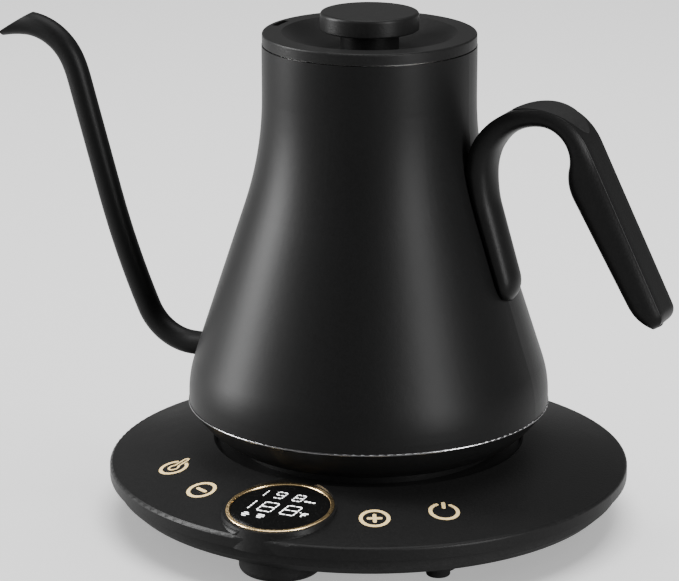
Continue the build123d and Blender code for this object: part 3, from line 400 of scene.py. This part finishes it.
display = {
    "centre": (0, -77.9, 27.0),
    "tilt": 6.5,
    "lift": 0.10,                             # above the glass
    "thick": 0.08,
    "stroke": 0.42,
    "slant": 0.09,
    "rows": (
        # text, x and y of its middle, digit height, digit width, pitch
        ("198", (-4.1, 8.9), 4.9, 3.5, 7.6),
        ("188", (-4.3, -1.2), 7.2, 5.5, 9.2),
    ),
    "joint": 0.95,                            # gap at a segment's ends, in strokes
    "break": 0.8,                             # gap between a segment's two bars
    "glassDepth": 0.2,                        # the glass lies below the pod's face
    "marks": (
        # small mark beside the upper row: start, end, width
        ((6.8, 7.2), (7.4, 7.2), 0.8), ((8.3, 7.2), (8.9, 7.2), 0.8), ((9.8, 7.2), (10.6, 7.2), 0.7),
        # the unit beside the lower row
        ((9.0, -1.6), (9.2, -1.6), 0.55), ((10.3, -4.3), (10.3, -2.2), 0.5),
        ((10.5, -1.9), (12.2, -1.9), 0.5), ((10.6, -3.1), (11.7, -3.1), 0.45),
        # two small signs below the rows
        ((-11.1, -9.0), (-8.5, -9.0), 0.5), ((-10.6, -7.8), (-9.2, -7.8), 0.45),
        ((-10.6, -10.2), (-9.2, -10.2), 0.45),
        ((-5.0, -8.9), (-2.4, -8.9), 0.5), ((-5.0, -7.8), (-2.6, -7.8), 0.45),
        ((-4.6, -10.0), (-3.2, -10.0), 0.45),
    ),
}


segments = {
    # name: ends on a cell 1 wide and 1 high
    "top": ((0, 1), (1, 1)), "middle": ((0, 0.5), (1, 0.5)), "bottom": ((0, 0), (1, 0)),
    "upLeft": ((0, 0.5), (0, 1)), "upRight": ((1, 0.5), (1, 1)),
    "lowLeft": ((0, 0), (0, 0.5)), "lowRight": ((1, 0), (1, 0.5)),
}
shapesOfDigits = {
    "1": ("upRight", "lowRight"),
    "8": tuple(segments),
    "9": ("top", "middle", "bottom", "upLeft", "upRight", "lowRight"),
}


def displayPlane():
    tilt = math.radians(display["tilt"])
    return Matrix.Translation(Vector(display["centre"]) * mm) @ Matrix.Rotation(tilt, 4, "X")


def addBar(shape, start, end, width):
    # one lit bar with pointed ends, lying in the display's plane
    start, end = Vector(start), Vector(end)
    along = (end - start).normalized()
    side = Vector((-along.y, along.x)) * width / 2
    tip = along * width / 2
    outline = [start - tip, start - side, end - side, end + tip, end + side, start + side]
    low = [shape.verts.new((p.x, p.y, 0)) for p in outline]
    high = [shape.verts.new((p.x, p.y, display["thick"])) for p in outline]
    shape.faces.new(high)
    shape.faces.new(low[::-1])
    for n in range(len(outline)):
        after = (n + 1) % len(outline)
        shape.faces.new((low[n], low[after], high[after], high[n]))


def addDigit(shape, digit, x, y, width, height):
    gap = display["stroke"] * display["joint"]
    for name in shapesOfDigits[digit]:
        ends = []
        for u, v in segments[name]:
            ends.append(Vector((x + (u - 0.5) * width, y + (v - 0.5) * height)))
        along = (ends[1] - ends[0]).normalized()
        length = (ends[1] - ends[0]).length - 2 * gap
        half = (length - display["break"]) / 2           # each segment is two short bars
        first = ends[0] + along * gap
        second = ends[1] - along * gap
        for bar in ((first, first + along * half), (second - along * half, second)):
            slanted = [(p.x + (p.y - y) * display["slant"], p.y) for p in bar]
            addBar(shape, slanted[0], slanted[1], display["stroke"])


def makeDigits():
    shape = bmesh.new()
    for text, (x, y), height, width, pitch in display["rows"]:
        for n, digit in enumerate(text):
            addDigit(shape, digit, x + (n - 1) * pitch, y, width, height)
    for start, end, width in display["marks"]:
        addBar(shape, start, end, width)
    mesh = bpy.data.meshes.new("displayDigits")
    shape.to_mesh(mesh)
    shape.free()
    lift = Matrix.Translation((0, 0, (display["lift"] - display["glassDepth"]) * mm))
    mesh.transform(displayPlane() @ lift @ Matrix.Scale(mm, 4))
    addPiece("displayDigits", mesh, litSegment("litSegment"), "base")


handle = {
    # finger side, mm in the plane y = 0
    "foot": (62.24, 93.0),                    # lower end of the strap's outer face
    "turn": (51.94, 127.5), "turnRound": 47.0, "lean": 16.6,
    "archRound": 21.0, "hookRound": 12.4, "hookPast": 12.0,
    "swellRound": 16.0, "fingerSlope": 30.3,
    # outer side
    "outerCentre": (69.9, 140.0), "outerRound": 27.9, "rootAngle": 162.0,
    "backRound": 22.8, "backSlope": 26.5,
    "endZ": 90.0, "fingerCorner": 11.0, "backCorner": 4.6,
    "strapFootZ": 91.7, "strapTurnZ": 125.8, "strapTopZ": 141.0,   # heights on the vessel
    "rootPast": 156, "crownPast": 93, "hookLead": 84,              # where the rounds hand over
    "kneeRun": 4.3, "fallRun": 15.2,          # down the outer side, across from knee and fall
    "offVessel": 0.1,
    "strapWide": 15.8, "archWide": 17.9, "gripWide": 19.0,
    "strapTip": 8.5, "gripTip": 9.5,          # lengths of the rounded ends
    "archFrom": (38, 62), "gripFrom": (88, 108),   # where the section changes, along the handle
    "swell": 1.5,                             # the finger side stands this much further out
    "inRound": 18, "sideRound": 12,           # points on the finger side's round and on a side
    "edge": 0.07, "edgeTurns": (30, 60, 90),  # softness of the outer edges, and their points
    "backPoints": (0.6, 0.3),                 # points on the outer side, as shares of its half width
    "seat": 0.5, "seatArch": 0.35,            # where the section is widest, and less of it on the arch
    "power": 2.1, "powerArch": 0.5,           # fullness of the finger side, and more of it on the arch
    "bulge": 0.12, "bulgeGrip": 0.13,         # how far the sides draw in, and more of it on the grip
    "strapTipForm": (2.2, 0.03), "gripTipForm": (2.4, 0.12),   # rounding, least width
    "strapThin": 0.75,                        # how much thinner the strap's tip is
    "endThin": 0.06,                          # depth left at the grip's end
    "smooth": 50,
    "steps": {
        "strap": 22, "turn": 12, "rise": 8, "crown": 18, "join": 2,
        "hook": 22, "knee": 4, "swell": 10, "grip": 26, "end": 14,
    },
}

vessel = {"neck": 40.35, "waistRound": 133.5, "neckZ": 165.0, "cone": 18.12}


def vesselRadius(z):
    # outside of the body at a height above its shoulder, mm
    cone = math.radians(vessel["cone"])
    touchZ = vessel["neckZ"] - vessel["waistRound"] * math.sin(cone)
    level = min(max(z, touchZ), vessel["neckZ"])
    rise = vessel["neckZ"] - level
    hollow = vessel["neck"] + vessel["waistRound"] - math.sqrt(vessel["waistRound"] ** 2 - rise ** 2)
    return hollow + max(0.0, touchZ - z) * math.tan(cone)


def onRound(centre, radius, degrees):
    turn = math.radians(degrees)
    return Vector((centre[0] + radius * math.cos(turn), centre[1] + radius * math.sin(turn)))


def blendPair(first, second, count):
    # stations where the finger side runs along first(u) and the outer side along second(u)
    return [(first(n / count), second(n / count)) for n in range(count)]


def runLine(start, end):
    return lambda u: Vector(start).lerp(Vector(end), u)


def runRound(centre, radius, start, end):
    return lambda u: onRound(centre, radius, start + (end - start) * u)


def runVessel(startZ, endZ):
    def run(u):
        z = startZ + (endZ - startZ) * u
        return Vector((vesselRadius(z) + handle["offVessel"], z))
    return run


def cornerRound(along, corner, radius, side):
    # round between a grip face coming down along a direction and the level end
    level = Vector((side, 0))
    half = along.angle(-level) / 2
    reach = radius / math.tan(half)
    start = corner - along * reach
    end = corner + level * reach
    bisector = (level - along).normalized()
    centre = corner + bisector * (radius / math.sin(half))
    first, last = start - centre, end - centre
    sweep = first.angle_signed(last)
    firstAngle = math.degrees(math.atan2(first.y, first.x))
    return start, end, lambda u: onRound(centre, radius, firstAngle - math.degrees(sweep) * u)


def slopeDown(degrees):
    # downward direction that leans outwards by an angle
    lean = math.radians(degrees)
    return Vector((math.sin(lean), -math.cos(lean)))


def handleStations():
    h = handle
    turnCentre = onRound(h["turn"], h["turnRound"], h["lean"])
    crown = onRound(turnCentre, h["turnRound"], 180) + Vector((h["archRound"], 0))
    hook = crown + Vector((0, h["archRound"] - h["hookRound"]))
    knee = onRound(hook, h["hookRound"], -h["hookPast"])
    swell = onRound(knee, h["swellRound"], -h["hookPast"])
    fall = onRound(swell, h["swellRound"], 180 + h["fingerSlope"])
    fingerWay = slopeDown(h["fingerSlope"])
    lowIn = fall + fingerWay * ((fall.y - h["endZ"]) / -fingerWay.y)
    crest = Vector(h["outerCentre"]) + Vector((0, h["outerRound"] - h["backRound"]))
    back = onRound(crest, h["backRound"], h["backSlope"])
    backWay = slopeDown(h["backSlope"])
    lowOut = back + backWay * ((back.y - h["endZ"]) / -backWay.y)
    inStart, inEnd, inRound = cornerRound(fingerWay, lowIn, h["fingerCorner"], 1)
    outStart, outEnd, outRound = cornerRound(backWay, lowOut, h["backCorner"], -1)
    outer = h["outerCentre"]
    root = h["rootAngle"]
    kneeAcross = back + backWay * h["kneeRun"]
    fallAcross = back + backWay * h["fallRun"]
    footZ, turnZ, topZ = h["strapFootZ"], h["strapTurnZ"], h["strapTopZ"]
    past, lead = h["rootPast"], h["hookLead"]
    steps = h["steps"]
    topPoint = runVessel(topZ, topZ)(0)
    rootPoint = onRound(outer, h["outerRound"], root)
    turnRun = runRound(turnCentre, h["turnRound"], 180 + h["lean"], 180)
    stations = blendPair(runLine(h["foot"], h["turn"]), runVessel(footZ, turnZ), steps["strap"])
    stations += blendPair(turnRun, runVessel(turnZ, topZ), steps["turn"])
    crownRun = runRound(crown, h["archRound"], 180, past)
    stations += blendPair(crownRun, runLine(topPoint, rootPoint), steps["rise"])
    crownRun = runRound(crown, h["archRound"], past, 90)
    stations += blendPair(crownRun, runRound(outer, h["outerRound"], root, h["crownPast"]), steps["crown"])
    hookRun = runRound(hook, h["hookRound"], 90, lead)
    stations += blendPair(hookRun, runRound(outer, h["outerRound"], h["crownPast"], 90), steps["join"])
    hookRun = runRound(hook, h["hookRound"], lead, 0)
    stations += blendPair(hookRun, runRound(crest, h["backRound"], 90, h["backSlope"]), steps["hook"])
    hookRun = runRound(hook, h["hookRound"], 0, -h["hookPast"])
    stations += blendPair(hookRun, runLine(back, kneeAcross), steps["knee"])
    swellRun = runRound(swell, h["swellRound"], 180 - h["hookPast"], 180 + h["fingerSlope"])
    stations += blendPair(swellRun, runLine(kneeAcross, fallAcross), steps["swell"])
    stations += blendPair(runLine(fall, inStart), runLine(fallAcross, outStart), steps["grip"])
    stations += blendPair(inRound, outRound, steps["end"])
    stations.append((inEnd, inEnd.lerp(outEnd, h["endThin"])))
    return stations


def sectionHalf(seat, power, bulge):
    # unit outline from the finger side (-1) to the outer side (1), widest at the seat
    h = handle
    points = []
    for n in range(h["inRound"]):
        turn = math.pi / 2 * n / h["inRound"]
        reach = (math.cos(turn) ** power + math.sin(turn) ** power) ** (-1 / power)
        points.append((seat - math.cos(turn) * reach * (1 + seat), math.sin(turn) * reach))
    soft = h["edge"]
    for n in range(h["sideRound"]):
        u = n / (h["sideRound"] - 1) * (1 - soft)
        points.append((seat + (1 - seat) * u, 1 - bulge * u * u))
    last = 1 - bulge * (1 - soft) ** 2
    for turn in h["edgeTurns"]:
        swing = math.radians(turn)
        across = 1 - soft + soft * math.sin(swing)
        points.append((seat + (1 - seat) * across, last - soft * (1 - math.cos(swing))))
    points += [(1, (last - soft) * part) for part in h["backPoints"]]
    return points


def sectionPoints(seat, power, bulge):
    half = sectionHalf(seat, power, bulge)
    return half + [(1, 0.0)] + [(x, -y) for x, y in half[:0:-1]]


def between(start, end, run):
    return min(max((run - start) / (end - start), 0.0), 1.0)


def tipShape(distance, length, power, least):
    # how wide a rounded end is at a distance from its tip
    if distance >= length:
        return 1.0
    return least + (1 - least) * max(1 - (1 - distance / length) ** power, 0.0) ** (1 / power)


def makeHandle():
    h = handle
    stations = handleStations()
    runs = [0.0]
    middles = [(inner + outer) / 2 for inner, outer in stations]
    for first, second in zip(middles, middles[1:]):
        runs.append(runs[-1] + (second - first).length)
    shape = bmesh.new()
    rings = []
    for run, (inner, outer) in zip(runs, stations):
        left = runs[-1] - run
        arch = between(*h["archFrom"], run)
        grip = between(*h["gripFrom"], run)
        wide = h["strapWide"] + (h["archWide"] - h["strapWide"]) * arch
        wide += (h["gripWide"] - h["archWide"]) * grip
        tips = tipShape(run, h["strapTip"], *h["strapTipForm"])
        tips *= tipShape(left, h["gripTip"], *h["gripTipForm"])
        wide *= tips
        thin = 1 - h["strapThin"] * (1 - between(0, h["strapTip"], run)) ** 3
        push = h["swell"] * between(0, h["strapTip"], run) * between(0, h["gripTip"], left)
        inner = outer - (outer - inner) * thin - (outer - inner).normalized() * push
        middle, half = (inner + outer) / 2, (outer - inner) / 2
        seat = h["seat"] - h["seatArch"] * arch
        power = h["power"] + h["powerArch"] * arch
        outline = sectionPoints(seat, power, h["bulge"] + h["bulgeGrip"] * grip)
        ring = []
        for across, side in outline:
            spot = middle + half * across
            ring.append(shape.verts.new((spot.x * mm, side * wide / 2 * mm, spot.y * mm)))
        rings.append(ring)
    around = len(rings[0])
    for lower, upper in zip(rings, rings[1:]):
        for k in range(around):
            after = (k + 1) % around
            shape.faces.new((lower[k], lower[after], upper[after], upper[k]))
    shape.faces.new(rings[0][::-1])
    shape.faces.new(rings[-1])
    bmesh.ops.recalc_face_normals(shape, faces=shape.faces)
    mesh = bpy.data.meshes.new("handleShell")
    shape.to_mesh(mesh)
    shape.free()
    piece = addPiece("handleShell", mesh, finishes["handle_black"], "kettle", h["smooth"])
    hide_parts("handle")
    print("handle made:", len(stations), "stations, length", round(runs[-1], 1), "mm")


floorLook = {
    "tone": 0.9, "rough": 0.6, "size": 6.0, "glow": 0.5,
    "fibre": 300, "fibreDetail": 4.0, "fibreTone": 0.99, "fibreRough": 0.05,
}


def makeFloor():
    mesh = bpy.data.meshes.new("floor")
    half = floorLook["size"] / 2
    corners = [(-half, -half, 0), (half, -half, 0), (half, half, 0), (-half, half, 0)]
    mesh.from_pydata(corners, [], [(0, 1, 2, 3)])
    floor = bpy.data.objects.new("floor", mesh)
    bpy.context.scene.collection.objects.link(floor)
    p = Paint("floorPaper")
    fibre = p.noise(floorLook["fibre"], floorLook["fibreDetail"])
    darker = floorLook["tone"] * floorLook["fibreTone"]
    shade = p.mix(fibre, toRgb(darker), toRgb(floorLook["tone"]))
    mesh.materials.append(p.finish(**{
        "Base Color": shade, "Roughness": floorLook["rough"] + floorLook["fibreRough"] * fibre,
        "Emission Color": shade, "Emission Strength": floorLook["glow"],
    }))
    floor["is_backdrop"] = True


makeCamera()
offFloor = makeLights()
makeFloor()
print("camera, light and floor made")
dressNodes()
print("finishes put on the nodes")
makeDigits()
print("display made")
makeHandle()

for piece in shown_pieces():
    offFloor.objects.link(piece)
